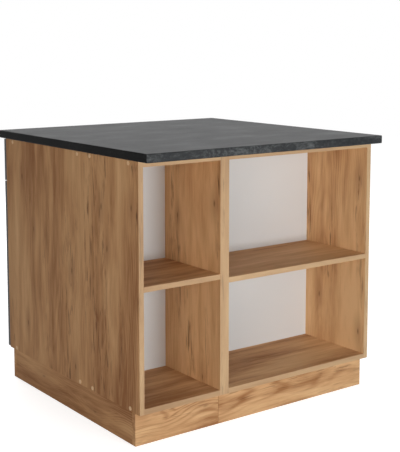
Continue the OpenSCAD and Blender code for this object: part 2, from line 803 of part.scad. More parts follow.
// Lines milled into a w by h front whose face is y = 0: a frame, and flutes across the field
module milled_lines(w, h, low, count) {
    field_w = w - 2 * frame_side;
    field_h = h - low - frame_top;
    translate([frame_side, 0, low]) {
        mitred_line(field_h);
        translate([field_w, 0, 0]) mirror([1, 0, 0]) mitred_line(field_h);
        rotate([0, 90, 0]) mirror([1, 0, 0]) mitred_line(field_w);
        translate([0, 0, field_h]) rotate([0, 90, 0]) mitred_line(field_w);
        for (i = [1:1:count - 1]) translate([i * field_w / count, 0, 0]) v_line(field_h);
    }
}

// Puts a child at each handle screw of a w by h front
module at_posts(w, h)
    for (side = [-1, 1]) translate([w / 2 + side * handle_pitch / 2, 0, h - handle_drop]) children();

// A front panel in its door frame: back at y = 0, face at y = -front_t
module front_panel(w, h, low, count) {
    difference() {
        slab([0, w], [-front_t, 0], [0, h]);
        translate([0, -front_t, 0]) milled_lines(w, h, low, count);
        at_posts(w, h) translate([0, cut, 0]) rotate([90, 0, 0])
            cylinder(r = handle_screw_r + screw_play, h = front_t + 2 * cut);
    }
}

module door_panel(w, h, hinges)
    difference() {
        front_panel(w, h, frame_low, flutes);
        for (z = hinges)
            translate([cup_mid, cut, z]) rotate([90, 0, 0])
                cylinder(r = cup_r + fit, h = cup_d + fit + cut);
    }

// Handle: a bar with rounded edges on two posts, each bored for its screw
module handle(w, h) {
    face = -front_t;
    bore_end = 2;
    difference() {
        union() {
            translate([w / 2, face - grip - bar_d / 2, h - handle_drop]) rotate([90, 0, 90])
                linear_extrude(handle_l, center = true) rounded_rect(bar_d, bar_h, bar_r);
            at_posts(w, h) translate([0, face, 0]) rotate([90, 0, 0]) cylinder(r = post_r, h = grip + bar_r);
        }
        at_posts(w, h) translate([0, face + cut, 0]) rotate([90, 0, 0])
            cylinder(r = handle_screw_r + fit, h = handle_bite + bore_end + cut);
    }
}

module handle_screws(w, h)
    at_posts(w, h) {
        rotate([-90, 0, 0]) cylinder(r1 = handle_head_r, r2 = handle_head_top_r, h = handle_head_t);
        rotate([90, 0, 0]) cylinder(r = handle_screw_r, h = front_t + handle_bite);
    }

module cups(hinges)
    for (z = hinges) translate([0, 0, z]) hinge_cup();

// Placing the four fronts
lower_h = door_high_z - front_low_z;
tall_h = front_high_z - front_low_z;
single_hinges = [hinge_end, tall_h - hinge_end];
pair_hinges = [hinge_end, lower_h - hinge_end];
drawer_w = wide_w - 2 * reveal;

module at_single() translate([single_cabinet[0] + reveal, front_back_y, front_low_z]) children();
module at_left() translate([drawer_cabinet[0] + reveal, front_back_y, front_low_z]) children();
module at_right()
    translate([drawer_cabinet[1] - reveal, front_back_y, front_low_z]) mirror([1, 0, 0]) children();
module at_drawer() translate([drawer_cabinet[0] + reveal, front_back_y, drawer_front_z]) children();

module single_door() color("#3f4042") at_single() door_panel(door_w, tall_h, single_hinges);
module single_door_handle() color("#161617") at_single() handle(door_w, tall_h);
module single_door_handle_screws() color("#c9c9cc") at_single() handle_screws(door_w, tall_h);
module single_door_hinge_cups() color("#b9babd") at_single() cups(single_hinges);

module left_door() color("#3f4042") at_left() door_panel(wide_door_w, lower_h, pair_hinges);
module left_door_handle() color("#161617") at_left() handle(wide_door_w, lower_h);
module left_door_handle_screws() color("#c9c9cc") at_left() handle_screws(wide_door_w, lower_h);
module left_door_hinge_cups() color("#b9babd") at_left() cups(pair_hinges);

module right_door() color("#3f4042") at_right() door_panel(wide_door_w, lower_h, pair_hinges);
module right_door_handle() color("#161617") at_right() handle(wide_door_w, lower_h);
module right_door_handle_screws() color("#c9c9cc") at_right() handle_screws(wide_door_w, lower_h);
module right_door_hinge_cups() color("#b9babd") at_right() cups(pair_hinges);

module drawer_front() color("#3f4042") at_drawer() front_panel(drawer_w, drawer_front_h, drawer_frame_low, 1);
module drawer_handle() color("#161617") at_drawer() handle(drawer_w, drawer_front_h);
module drawer_handle_screws() color("#c9c9cc") at_drawer() handle_screws(drawer_w, drawer_front_h);

// ---------------------------------------------------------------- drawer box

box_top = box_z + drawer_side_h;

// The drawer's bottom lies in a groove in all four boards of the box; grown by g it cuts the groove
module base_board(g = 0) {
    in = board_t - groove_d - g;
    slab([box_x[0] + in, box_x[1] - in], [box_y[0] + in, box_y[1] - in],
         [base_z - g, base_z + drawer_base_t + g]);
}

module drawer_sides() color("#d8d6d2")
    difference() {
        union() {
            slab([box_x[0], box_x[0] + board_t], box_y, [box_z, box_top]);
            slab([box_x[1] - board_t, box_x[1]], box_y, [box_z, box_top]);
        }
        base_board(groove_fit);
    }

module drawer_ends() color("#d8d6d2")
    difference() {
        union() {
            slab([box_x[0] + board_t, box_x[1] - board_t], [box_y[0], box_y[0] + board_t], [box_z, box_top]);
            slab([box_x[0] + board_t, box_x[1] - board_t], [box_y[1] - board_t, box_y[1]], [box_z, box_top]);
        }
        base_board(groove_fit);
    }

module drawer_base() color("#cbc5bf") base_board();

// ---------------------------------------------------------------- drawer runners

// Runner frames: origin on the cabinet's side board, x towards the drawer, y into the depth, z from the middle
case_half = runner_h / 2;
middle_half = case_half - runner_t - race;
inner_half = middle_half - runner_t - race;
inner_lip = middle_x + runner_t + drawer_lip_gap;    // where the drawer member's flanges begin
case_lip = runner_w - case_lip_gap;
middle_lip = runner_w - middle_lip_gap;

module at_runners() {
    translate([drawer_cabinet[0] + board_t, front_y + runner_set, runner_z]) children();
    translate([drawer_cabinet[1] - board_t, front_y + runner_set, runner_z]) mirror([1, 0, 0]) children();
}

// A channel with its web at web_x and flanges to lip_x, half its height given
module channel(web_x, lip_x, half) {
    turn = web_x < lip_x ? 1 : -1;
    slab([web_x, web_x + turn * runner_t], [0, drawer_l], [-half, half]);
    for (side = [-1, 1])
        slab([web_x, lip_x], [0, drawer_l], [side * half, side * (half - runner_t)]);
}

// Balls in a flat strip, which runs in the race at height z
module cage(x, z, y) {
    translate([x, y, z]) {
        slab([-cage_w / 2, cage_w / 2], [0, cage_l], [-cage_t / 2, cage_t / 2]);
        for (i = [0:cage_balls - 1])
            translate([0, cage_l * (i + 0.5) / cage_balls, 0]) sphere(ball_r);
    }
}

module runner_case_members() color("#b4b6ba") at_runners() channel(0, case_lip, case_half);
module runner_middle_members() color("#bfc1c5") at_runners() channel(middle_x, middle_lip, middle_half);
module runner_drawer_members() color("#c9cbcf") at_runners() channel(runner_w, inner_lip, inner_half);

// The outer cages sit at the rear of the middle member and the inner ones at its front
module runner_ball_cages() color("#8d8f94") at_runners() {
    outer_x = (middle_x + case_lip) / 2;
    inner_x = (inner_lip + middle_lip) / 2;
    for (side = [-1, 1]) {
        cage(outer_x, side * (case_half - runner_t - race / 2), drawer_l - cage_l - cage_end);
        cage(inner_x, side * (middle_half - runner_t - race / 2), cage_end);
    }
}

// ---------------------------------------------------------------- nodes

worktop();
narrow_open_outer_side();
narrow_open_inner_side();
narrow_open_bottom();
narrow_open_top();
narrow_open_shelf();
narrow_open_back();
wide_open_outer_side();
wide_open_inner_side();
wide_open_bottom();
wide_open_top();
wide_open_shelf();
wide_open_back();
single_cabinet_outer_side();
single_cabinet_inner_side();
single_cabinet_bottom();
single_cabinet_rails();
single_cabinet_shelf();
single_cabinet_back();
drawer_cabinet_outer_side();
drawer_cabinet_inner_side();
drawer_cabinet_bottom();
drawer_cabinet_rails();
drawer_cabinet_shelf();
drawer_cabinet_back();
plinth_narrow_boards();
plinth_wide_boards();
plinth_end_boards();
leg_tubes();
leg_feet();
plinth_clips();
shelf_pins();
carcass_screws();
screw_caps();
unit_connectors();
worktop_screws();
hinge_plates();
hinge_arms();
runner_case_members();
single_door();
single_door_handle();
single_door_handle_screws();
single_door_hinge_cups();
left_door();
left_door_handle();
left_door_handle_screws();
left_door_hinge_cups();
right_door();
right_door_handle();
right_door_handle_screws();
right_door_hinge_cups();
drawer_front();
drawer_handle();
drawer_handle_screws();
drawer_sides();
drawer_ends();
drawer_base();
runner_drawer_members();
runner_middle_members();
runner_ball_cages();
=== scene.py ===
from math import cos, pi, radians, sin

import bpy
import bmesh
from mathutils import Matrix, Vector


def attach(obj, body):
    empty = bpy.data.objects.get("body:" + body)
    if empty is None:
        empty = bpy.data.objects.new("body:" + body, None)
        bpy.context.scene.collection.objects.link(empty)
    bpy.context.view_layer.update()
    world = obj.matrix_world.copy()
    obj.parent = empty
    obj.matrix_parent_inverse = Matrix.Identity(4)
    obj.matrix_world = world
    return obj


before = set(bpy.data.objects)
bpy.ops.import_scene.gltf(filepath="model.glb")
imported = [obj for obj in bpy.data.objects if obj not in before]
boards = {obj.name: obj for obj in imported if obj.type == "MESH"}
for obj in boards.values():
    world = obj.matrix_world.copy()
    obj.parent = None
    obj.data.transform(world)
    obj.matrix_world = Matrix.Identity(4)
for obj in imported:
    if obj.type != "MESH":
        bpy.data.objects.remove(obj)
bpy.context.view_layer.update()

# ------------------------------------------------------------------------------------ camera
# The island is seen from its shelf side, a little above the worktop, with the end of the
# drawer cabinet and of the narrow open unit on the left.

camera_place = (1.9549, 2.7371, 1.1543)
camera_heading, camera_tilt = -126.4877, -6.6801      # degrees from +X, and above the horizon
camera_lens, camera_sensor = 81.367, 36.0              # millimetres
camera_shift = (-0.0044, -0.15)

lens = bpy.data.cameras.new("camera")
lens.lens, lens.sensor_width, lens.sensor_fit = camera_lens, camera_sensor, "AUTO"
lens.shift_x, lens.shift_y = camera_shift
lens.clip_start, lens.clip_end = 0.05, 100
camera = bpy.data.objects.new("camera", lens)
camera.location = camera_place
camera.rotation_euler = (radians(90 + camera_tilt), 0, radians(camera_heading - 90))
bpy.context.scene.collection.objects.link(camera)
bpy.context.scene.camera = camera

# ------------------------------------------------------------------------- floor and lamps
# A pale floor that goes white where the camera sees it, and soft light. Three lamps light the
# open shelves, one of them close and low. The doors and the far end have one lamp each, and
# the worktop has one above.

floor_size = 14.0
floor_grey = (0.55, 0.545, 0.54, 1.0)
floor_near, floor_far = 0.80, 1.0      # white added where the camera sees the floor
shadow_reach = (0.9, 3.0)              # from the object's middle: full shadow, and none
white = (1.0, 1.0, 1.0, 1.0)
sky_light, sky_seen = 0.05, 1.0        # what the sky gives the object, and what the camera sees
lamps = [
    # name, place, aimed at, width, height, share of full light it gives the object, tint
    ("shelf_side_lamp", (-1.14, 4.25, 0.9), (0.0, 0.2, 0.5), 2.4, 1.4, 0.05, (0.98, 1.0, 1.02)),
    ("shelf_low_lamp", (-0.07, 2.4, 0.46), (-0.25, 0.2, 0.45), 0.7, 0.4, 0.56, (0.93, 1.01, 1.06)),
    ("corner_lamp", (3.11, 3.11, 0.9), (0.0, 0.2, 0.5), 2.4, 1.4, 0.32, (1.13, 0.97, 0.85)),
    ("door_side_lamp", (-0.5, -3.6, 2.3), (0.0, -0.3, 0.45), 1.8, 1.8, 0.66, (1.0, 1.0, 1.0)),
    ("far_end_lamp", (-4.3, -0.6, 0.45), (0.0, 0.0, 0.45), 2.6, 0.7, 0.38, (1.0, 1.0, 1.0)),
    ("top_lamp", (0.6, 1.2, 4.2), (0.0, 0.0, 0.8), 2.6, 2.6, 0.20, (1.0, 1.0, 1.0)),
]


def add(tree, kind, inputs=None, **settings):
    """Adds a node of that kind to the tree, sets it, feeds its inputs and returns it."""
    node = tree.nodes.new(kind)
    for name, value in settings.items():
        setattr(node, name, value)
    for name, value in (inputs or {}).items():
        if isinstance(value, bpy.types.NodeSocket):
            tree.links.new(value, node.inputs[name])
        else:
            node.inputs[name].default_value = value
    return node


def calc(tree, operation, first, second=0.0, third=0.0):
    """One step of arithmetic on values over the surface."""
    return add(tree, "ShaderNodeMath", {0: first, 1: second, 2: third},
               operation=operation).outputs[0]


def seen_share(tree):
    """One where the camera looks, also in a reflection or through glass, and nought elsewhere."""
    rays = add(tree, "ShaderNodeLightPath").outputs
    looked = calc(tree, "MAXIMUM", rays["Is Camera Ray"], rays["Is Glossy Ray"])
    return calc(tree, "MAXIMUM", looked, rays["Is Transmission Ray"])


def link_mesh(mesh, name):
    """Gives a bmesh an object of that name in the scene."""
    data = bpy.data.meshes.new(name)
    mesh.to_mesh(data)
    mesh.free()
    made = bpy.data.objects.new(name, data)
    bpy.context.scene.collection.objects.link(made)
    return made


floor_mesh = bmesh.new()
bmesh.ops.create_grid(floor_mesh, x_segments=1, y_segments=1, size=floor_size / 2)
floor = link_mesh(floor_mesh, "floor")

paper = bpy.data.materials.new("white paper floor")
paper.use_nodes = True
tree = paper.node_tree
tree.nodes.clear()
away = add(tree, "ShaderNodeVectorMath", {0: add(tree, "ShaderNodeTexCoord").outputs["Object"]},
           operation="LENGTH")
paler = add(tree, "ShaderNodeMapRange", {"Value": away.outputs["Value"],
                                         "From Min": shadow_reach[0], "From Max": shadow_reach[1],
                                         "To Min": floor_near, "To Max": floor_far},
            interpolation_type="SMOOTHSTEP")
lift = calc(tree, "MULTIPLY", seen_share(tree), paler.outputs[0])
dull = add(tree, "ShaderNodeBsdfDiffuse", {"Color": floor_grey})
glow = add(tree, "ShaderNodeEmission", {"Color": white, "Strength": lift})
both = add(tree, "ShaderNodeAddShader", {0: dull.outputs[0], 1: glow.outputs[0]})
add(tree, "ShaderNodeOutputMaterial", {"Surface": both.outputs[0]})
floor.data.materials.append(paper)

world = bpy.data.worlds.new("white studio")
bpy.context.scene.world = world
world.use_nodes = True
tree = world.node_tree
tree.nodes.clear()
sky = add(tree, "ShaderNodeMapRange", {"Value": seen_share(tree), "To Min": sky_light,
                                       "To Max": sky_seen})
glow = add(tree, "ShaderNodeBackground", {"Color": white, "Strength": sky.outputs[0]})
add(tree, "ShaderNodeOutputWorld", {"Surface": glow.outputs[0]})

for name, place, aim, width, height, share, tint in lamps:
    lamp = bpy.data.lights.new(name, "AREA")
    lamp.shape, lamp.size, lamp.size_y = "RECTANGLE", width, height
    reach = Vector(aim) - Vector(place)
    # At that power a white surface facing the lamp reflects the share of full white.
    lamp.energy, lamp.color = share * pi * pi * reach.length_squared, tint
    stand = bpy.data.objects.new(name, lamp)
    stand.location = place
    stand.rotation_euler = reach.to_track_quat("-Z", "Y").to_euler()
    stand.visible_glossy = name != "door_side_lamp"      # it would glare along the worktop
    bpy.context.scene.collection.objects.link(stand)

bpy.context.scene.view_settings.view_transform = "Standard"

# ------------------------------------------------------------------------------- carcasses
# Every visible board is 16 mm particle board faced with a craft oak decor: straight golden
# grain with darker bands, short cracks, a few knots and cathedrals. The edges carry the same
# decor as a banding. The grain runs up the sides and along shelves, tops and bottoms.

edge_round = 0.0007
oak_pale = (223, 185, 139)
oak_ground = (199, 156, 112)
oak_dark = (152, 106, 68)
oak_smudge = (126, 77, 44)
oak_crack = (66, 42, 26)
# a banding print, greyer than the faces: partly real, partly painted sheen on the lit front edges
oak_banding_and_sheen = (170, 144, 114)
oak_grain = {
    # node: its axes as across, through and along the grain, and where in the decor it was cut
    "narrow_open_outer_side": ("YXZ", (2.12, 0.0, 1.61)),
    "drawer_cabinet_outer_side": ("YXZ", (5.87, 0.0, 2.42)),
    "narrow_open_inner_side": ("YXZ", (2.73, 0.0, 1.31)),
    "wide_open_inner_side": ("YXZ", (3.38, 0.0, 2.14)),
    "wide_open_outer_side": ("YXZ", (4.55, 0.0, 0.66)),
    "single_cabinet_outer_side": ("YXZ", (5.21, 0.0, 3.05)),
    "single_cabinet_inner_side": ("YXZ", (6.12, 0.0, 1.87)),
    "drawer_cabinet_inner_side": ("YXZ", (7.40, 0.0, 2.92)),
    "narrow_open_bottom": ("YZX", (8.11, 0.0, 0.35)),
    "narrow_open_top": ("YZX", (9.03, 0.0, 1.12)),
    "narrow_open_shelf": ("YZX", (9.87, 0.0, 2.44)),
    "wide_open_bottom": ("YZX", (10.62, 0.0, 0.91)),
    "wide_open_top": ("YZX", (11.44, 0.0, 1.73)),
    "wide_open_shelf": ("YZX", (12.35, 0.0, 3.26)),
    "single_cabinet_bottom": ("YZX", (13.18, 0.0, 0.58)),
    "single_cabinet_rails": ("YZX", (14.07, 0.0, 2.21)),
    "single_cabinet_shelf": ("YZX", (14.92, 0.0, 1.47)),
    "drawer_cabinet_bottom": ("YZX", (15.71, 0.0, 3.62)),
    "drawer_cabinet_rails": ("YZX", (16.66, 0.0, 0.84)),
    "drawer_cabinet_shelf": ("YZX", (17.43, 0.0, 2.75)),
    "plinth_narrow_boards": ("ZYX", (18.22, 0.0, 1.05)),
    "plinth_wide_boards": ("ZYX", (19.31, 0.0, 2.38)),
    "plinth_end_boards": ("ZXY", (20.17, 0.0, 0.49)),
}
board_marks = {
    # axes: how much of the decor's smudges and cracks, and of its ring figure, such boards show
    "YXZ": (1.0, 0.6),
    "YZX": (0.20, 0.3),
    "ZYX": (0.60, 1.05),
    "ZXY": (0.60, 1.05),
}
board_painted_light_and_shade = {
    # node: how much paler (above 0) or deeper (below 0) its print runs than the others; this is
    # painted light and painted shade: lit inner walls and the wide shelf paler, the shaded end
    # sides, the narrow bay's bottom and shelf and the plinths deeper
    "narrow_open_outer_side": -0.09,
    "drawer_cabinet_outer_side": -0.06,
    "narrow_open_inner_side": 0.15,
    "wide_open_outer_side": 0.16,
    "narrow_open_bottom": -0.22,
    "narrow_open_shelf": -0.12,
    "wide_open_shelf": 0.14,
    "plinth_narrow_boards": -0.06,
    "plinth_wide_boards": -0.04,
}
grain_drift = [
    # waves per metre across and along, metres sideways
    (4.0, 1.7, 0.045),
    (22.0, 8.0, 0.010),
]
grain_layers = [
    # broad bands, narrow bands, streaks, fibres: waves per metre across and along, detail, weight
    (10.0, 1.3, 1.0, 0.72),
    (27.0, 3.0, 2.0, 0.80),
    (64.0, 6.0, 2.0, 0.34),
    (210.0, 12.0, 2.0, 0.26),
    (700.0, 26.0, 2.0, 0.20),
]
middle_tone = 0.53                             # of a board with no grain, from 0 to 1
dark_at, ground_at, pale_at = 0.18, 0.50, 0.82 # the tones that have those three colours
knots_across, knots_along = 6.4, 2.2           # cells per metre, with one knot in each
knot_push = 0.030                              # metres that a knot moves the rings
ring_pitch, ring_sharp = 0.0078, 2.2           # metres from ring to ring, and how thin each is
ring_half, ring_slant, ring_depth = 0.17, 0.055, 0.11
ring_waves, ring_shake = (30.0, 30.0, 4.0), 0.016
ring_weak, ring_strong = 0.05, 0.14            # what a ring takes from the tone, and in a figure
figure_waves = (5.0, 5.0, 1.1)
chain_waves, smudge_waves, crack_waves = (12.0, 12.0, 1.3), (52.0, 52.0, 9.0), (210.0, 210.0, 10.0)
smudge_cover, crack_cover, banding_and_sheen_cover = 0.80, 0.68, 0.60
oak_press, oak_depth = 0.35, 0.0003            # of the pores pressed into the print


def chip(red, green, blue):
    """A colour chip read from 0 to 255, as the linear colour that a shader takes."""
    return tuple(((value / 255 + 0.055) / 1.055) ** 2.4 for value in (red, green, blue)) + (1.0,)


def stretch(tree, place, across, through, along):
    """The place on a board, scaled by itself in each direction."""
    return add(tree, "ShaderNodeVectorMath", {0: place, 1: (across, through, along)},
               operation="MULTIPLY").outputs[0]


def cloud(tree, place, detail=2.0, rough=0.5, out="Fac"):
    """Soft noise at a place that is already scaled."""
    return add(tree, "ShaderNodeTexNoise", {"Vector": place, "Scale": 1.0, "Detail": detail,
                                            "Roughness": rough}).outputs[out]


def fade(tree, value, low, high, out_low=0.0, out_high=1.0):
    """Smooth step from low to high."""
    return add(tree, "ShaderNodeMapRange", {"Value": value, "From Min": low, "From Max": high,
                                            "To Min": out_low, "To Max": out_high},
               interpolation_type="SMOOTHSTEP").outputs[0]


def turned_to(tree, normal, axis):
    """One on the faces that look along an axis, either way, and nought on the others."""
    along = add(tree, "ShaderNodeSeparateXYZ", {0: normal}).outputs[axis]
    return fade(tree, calc(tree, "ABSOLUTE", along), 0.6, 0.9)


def blend_colour(tree, factor, first, second):
    """Mixes two colours by a factor over the surface."""
    mix = add(tree, "ShaderNodeMix", data_type="RGBA")
    for socket, value in ((mix.inputs[0], factor), (mix.inputs[6], first), (mix.inputs[7], second)):
        if isinstance(value, bpy.types.NodeSocket):
            tree.links.new(value, socket)
        else:
            socket.default_value = value
    return mix.outputs[2]


def ramp(tree, factor, dark, ground, pale):
    """Runs through three colour chips, each at its own value of the factor."""
    made = add(tree, "ShaderNodeValToRGB", {"Fac": factor})
    steps = made.color_ramp.elements
    steps[0].position, steps[0].color = dark[0], chip(*dark[1])
    steps[1].position, steps[1].color = pale[0], chip(*pale[1])
    steps.new(ground[0]).color = chip(*ground[1])
    return made.outputs["Color"]


def new_group(name, takes, gives):
    """An empty node group with named inputs and outputs, and its two end nodes."""
    group = bpy.data.node_groups.new(name, "ShaderNodeTree")
    for label, kind in takes.items():
        group.interface.new_socket(label, in_out="INPUT", socket_type=kind)
    for label, kind in gives.items():
        group.interface.new_socket(label, in_out="OUTPUT", socket_type=kind)
    return group, group.nodes.new("NodeGroupInput"), group.nodes.new("NodeGroupOutput")


oak, board_in, board_out = new_group(
    "craft_oak",
    {"Place": "NodeSocketVector", "Marks": "NodeSocketFloat", "Figure": "NodeSocketFloat",
     "Painted light and shade": "NodeSocketFloat", "Banding and sheen": "NodeSocketFloat"},
    {"Color": "NodeSocketColor", "Roughness": "NodeSocketFloat", "Height": "NodeSocketFloat"})
given = board_in.outputs
place = given["Place"]
# The grain wanders from side to side on its way along the board, and ripples a little.
bent = place
for across, along, width in grain_drift:
    drift = cloud(oak, stretch(oak, place, across, across, along), 1.0, out="Color")
    drift = add(oak, "ShaderNodeVectorMath", {0: drift, 1: (0.5, 0.5, 0.5)},
                operation="SUBTRACT").outputs[0]
    bent = add(oak, "ShaderNodeVectorMath", {0: bent, 1: stretch(oak, drift, width, width, 0.0)},
               operation="ADD").outputs[0]
way = add(oak, "ShaderNodeSeparateXYZ", {0: bent}).outputs
# A knot sits here and there, and pushes the rings round it aside.
flat_place = add(oak, "ShaderNodeCombineXYZ", {"X": calc(oak, "MULTIPLY", way["X"], knots_across),
                                               "Y": calc(oak, "MULTIPLY", way["Z"], knots_along)})
knot_far = add(oak, "ShaderNodeTexVoronoi", {"Vector": flat_place.outputs[0], "Scale": 1.0},
               voronoi_dimensions="2D").outputs["Distance"]
round_knot = fade(oak, knot_far, 0.01, 0.20, 1.0, 0.0)
heart = fade(oak, knot_far, 0.004, 0.034, 0.8, 0.0)
swirl = calc(oak, "MULTIPLY", fade(oak, knot_far, 0.0, 0.42, knot_push, 0.0), given["Figure"])
# Year rings cut at a slant open into cathedrals, here and there.
depth = calc(oak, "PINGPONG", calc(oak, "MULTIPLY", way["Z"], ring_slant), ring_depth)
ring_x = calc(oak, "PINGPONG", way["X"], ring_half)
ring_far = calc(oak, "SQRT", calc(oak, "ADD", calc(oak, "MULTIPLY", ring_x, ring_x),
                                  calc(oak, "MULTIPLY", depth, depth)))
uneven = cloud(oak, stretch(oak, place, *ring_waves), 1.0)
ring_far = calc(oak, "ADD", calc(oak, "ADD", swirl, ring_far),
                calc(oak, "MULTIPLY", uneven, ring_shake))
ring_wave = calc(oak, "SINE", calc(oak, "MULTIPLY", ring_far, 2 * pi / ring_pitch))
ring_line = calc(oak, "POWER", calc(oak, "MULTIPLY_ADD", ring_wave, 0.5, 0.5), ring_sharp)
figure = fade(oak, cloud(oak, stretch(oak, place, *figure_waves), 1.0), 0.48, 0.62)
ring_tone = calc(oak, "MULTIPLY", ring_line,
                 calc(oak, "MULTIPLY_ADD", figure, ring_strong, ring_weak))
ring_tone = calc(oak, "MULTIPLY", ring_tone, given["Figure"])
# The grain's layers lighten and darken the tone, each finer than the last.
# The tone starts from the middle tone plus the board's painted light and shade, less the rings.
tone = calc(oak, "SUBTRACT", calc(oak, "ADD", middle_tone, given["Painted light and shade"]), ring_tone)
for across, along, detail, weight in grain_layers:
    fibre = cloud(oak, stretch(oak, bent, across, across, along), detail)
    tone = calc(oak, "ADD", tone, calc(oak, "MULTIPLY_ADD", fibre, weight, -weight / 2))
body = ramp(oak, tone, (dark_at, oak_dark), (ground_at, oak_ground), (pale_at, oak_pale))
# Soft brown smudges run in chains down the grain, and short dark cracks sit in them.
chain = fade(oak, cloud(oak, stretch(oak, bent, *chain_waves), 1.0), 0.50, 0.66)
smudge = fade(oak, cloud(oak, stretch(oak, bent, *smudge_waves), 4.0, 0.65), 0.50, 0.76)
smudge = calc(oak, "MULTIPLY", smudge, calc(oak, "MULTIPLY_ADD", chain, 0.85, 0.15))
smudge = calc(oak, "MAXIMUM", smudge, calc(oak, "MULTIPLY", round_knot, 0.42))
smudge = calc(oak, "MULTIPLY", smudge, given["Marks"])
colour = blend_colour(oak, calc(oak, "MULTIPLY", smudge, smudge_cover), body, chip(*oak_smudge))
crack = fade(oak, cloud(oak, stretch(oak, bent, *crack_waves), 1.0), 0.61, 0.70)
crack = calc(oak, "MULTIPLY", crack, calc(oak, "MULTIPLY_ADD", chain, 0.95, 0.05))
dark_spot = calc(oak, "MULTIPLY", calc(oak, "MAXIMUM", crack, heart), given["Marks"])
colour = blend_colour(oak, calc(oak, "MULTIPLY", dark_spot, crack_cover), colour, chip(*oak_crack))
# The banding on the edges is a plastic strip in a paler print; its greyer tint is partly painted
# sheen, the haze of light that the lit front edges catch.
colour = blend_colour(oak, calc(oak, "MULTIPLY", given["Banding and sheen"], banding_and_sheen_cover), colour,
                      chip(*oak_banding_and_sheen))
oak.links.new(colour, board_out.inputs["Color"])
oak.links.new(calc(oak, "MULTIPLY_ADD", fibre, 0.20, 0.48), board_out.inputs["Roughness"])
relief = calc(oak, "SUBTRACT", calc(oak, "MULTIPLY", fibre, 0.5), dark_spot)
oak.links.new(relief, board_out.inputs["Height"])


def new_finish(name, **sockets):
    """A material with one Principled shader whose own sockets are set, and its node tree."""
    finish = bpy.data.materials.new(name)
    finish.use_nodes = True
    shader = finish.node_tree.nodes["Principled BSDF"]
    for label, value in sockets.items():
        shader.inputs[label.replace("_", " ")].default_value = value
    return finish, finish.node_tree, shader


def press(tree, shader, height, strength, depth):
    """Presses a surface's height into its normal; the depth is in metres."""
    bump = add(tree, "ShaderNodeBump", {"Height": height, "Strength": strength, "Distance": depth})
    tree.links.new(bump.outputs[0], shader.inputs["Normal"])


def dress(node, finish, rounding=0.0):
    """Gives a solid its finish, and softens its edges as a banding or a film does."""
    solid = boards[node]
    solid.data.materials.clear()
    solid.data.materials.append(finish)
    if rounding:
        solid.modifiers.new("one skin", "WELD").merge_threshold = 1e-6
        plane = solid.modifiers.new("whole faces", "DECIMATE")
        plane.decimate_type, plane.angle_limit = "DISSOLVE", radians(0.5)
        soft = solid.modifiers.new("soft edges", "BEVEL")
        soft.width, soft.segments = rounding, 2
        soft.limit_method, soft.angle_limit = "ANGLE", radians(40)


for node, (axes, cut) in oak_grain.items():
    finish, tree, shader = new_finish(f"craft oak {node}", Specular_IOR_Level=0.1)
    spots = add(tree, "ShaderNodeTexCoord").outputs
    at = add(tree, "ShaderNodeSeparateXYZ", {0: spots["Object"]}).outputs
    turned = add(tree, "ShaderNodeCombineXYZ", {way: at[axis] for way, axis in zip("XYZ", axes)})
    moved = add(tree, "ShaderNodeVectorMath", {0: turned.outputs[0], 1: cut}, operation="ADD")
    marks, figure = board_marks[axes]
    wood = add(tree, "ShaderNodeGroup", node_tree=oak)
    # Each board gets its painted light and shade: paler where lit, deeper where in shade.
    for label, value in (("Marks", marks), ("Figure", figure), ("Painted light and shade", board_painted_light_and_shade.get(node, 0.0))):
        wood.inputs[label].default_value = value
    tree.links.new(moved.outputs[0], wood.inputs["Place"])
    tree.links.new(turned_to(tree, spots["Normal"], axes[0]), wood.inputs["Banding and sheen"])
    tree.links.new(wood.outputs["Color"], shader.inputs["Base Color"])
    tree.links.new(wood.outputs["Roughness"], shader.inputs["Roughness"])
    press(tree, shader, wood.outputs["Height"], oak_press, oak_depth)
    dress(node, finish, edge_round)

# ----------------------------------------------------------------------------------- backs
# White lacquered fibreboard, 3 mm, slid into grooves in the sides. The lacquer is even, with
# the faint orange peel of a rolled finish.

back_white = (210, 208, 206)
back_shade = (206, 204, 202)
shade_waves, peel_waves = (2.5, 2.5, 2.5), (420, 420, 420)

fibreboard, tree, shader = new_finish("white fibreboard", Roughness=0.48, IOR=1.45)
place = add(tree, "ShaderNodeTexCoord").outputs["Object"]
mottle = fade(tree, cloud(tree, stretch(tree, place, *shade_waves), 1.0), 0.3, 0.7)
tree.links.new(blend_colour(tree, mottle, chip(*back_shade), chip(*back_white)),
               shader.inputs["Base Color"])
press(tree, shader, cloud(tree, stretch(tree, place, *peel_waves), 2.0), 0.08, 0.0002)
for unit in ("narrow_open", "wide_open", "single_cabinet", "drawer_cabinet"):
    dress(f"{unit}_back", fibreboard)

# --------------------------------------------------------------------------------- worktop
# One slab of particle board, 26 mm, with a dark slate laminate pressed on and round its long
# edges. The decor is mottled, its satin seal shines at a flat angle, and screws hold it from
# below. Both ends are painted near black, faintly mottled: painted shade for the end that
# faces away from the lamps.

slate_dark = (30, 32, 34)
slate_ground = (50, 51, 52)
slate_pale = (102, 104, 104)
# painted shade: the near black of the worktop's two ends
end_painted_shade_black = (14, 15, 16)
slate_round = 0.0015
drift_waves, drift_reach = (9.0, 9.0, 9.0), (0.09, 0.09, 0.03)
veil_waves, grit_waves = (6.0, 11.0, 14.0), (75.0, 95.0, 130.0)
veil_share, grit_share = 0.55, 0.45            # of the tone
slate_dark_at, slate_ground_at, slate_pale_at = 0.36, 0.52, 0.70
face_calm, end_painted_shade_cover = 0.5, 0.85             # how far the faces are even, and the ends black
face_seal, face_seal_veil, edge_seal = 0.42, 0.5, 0.45

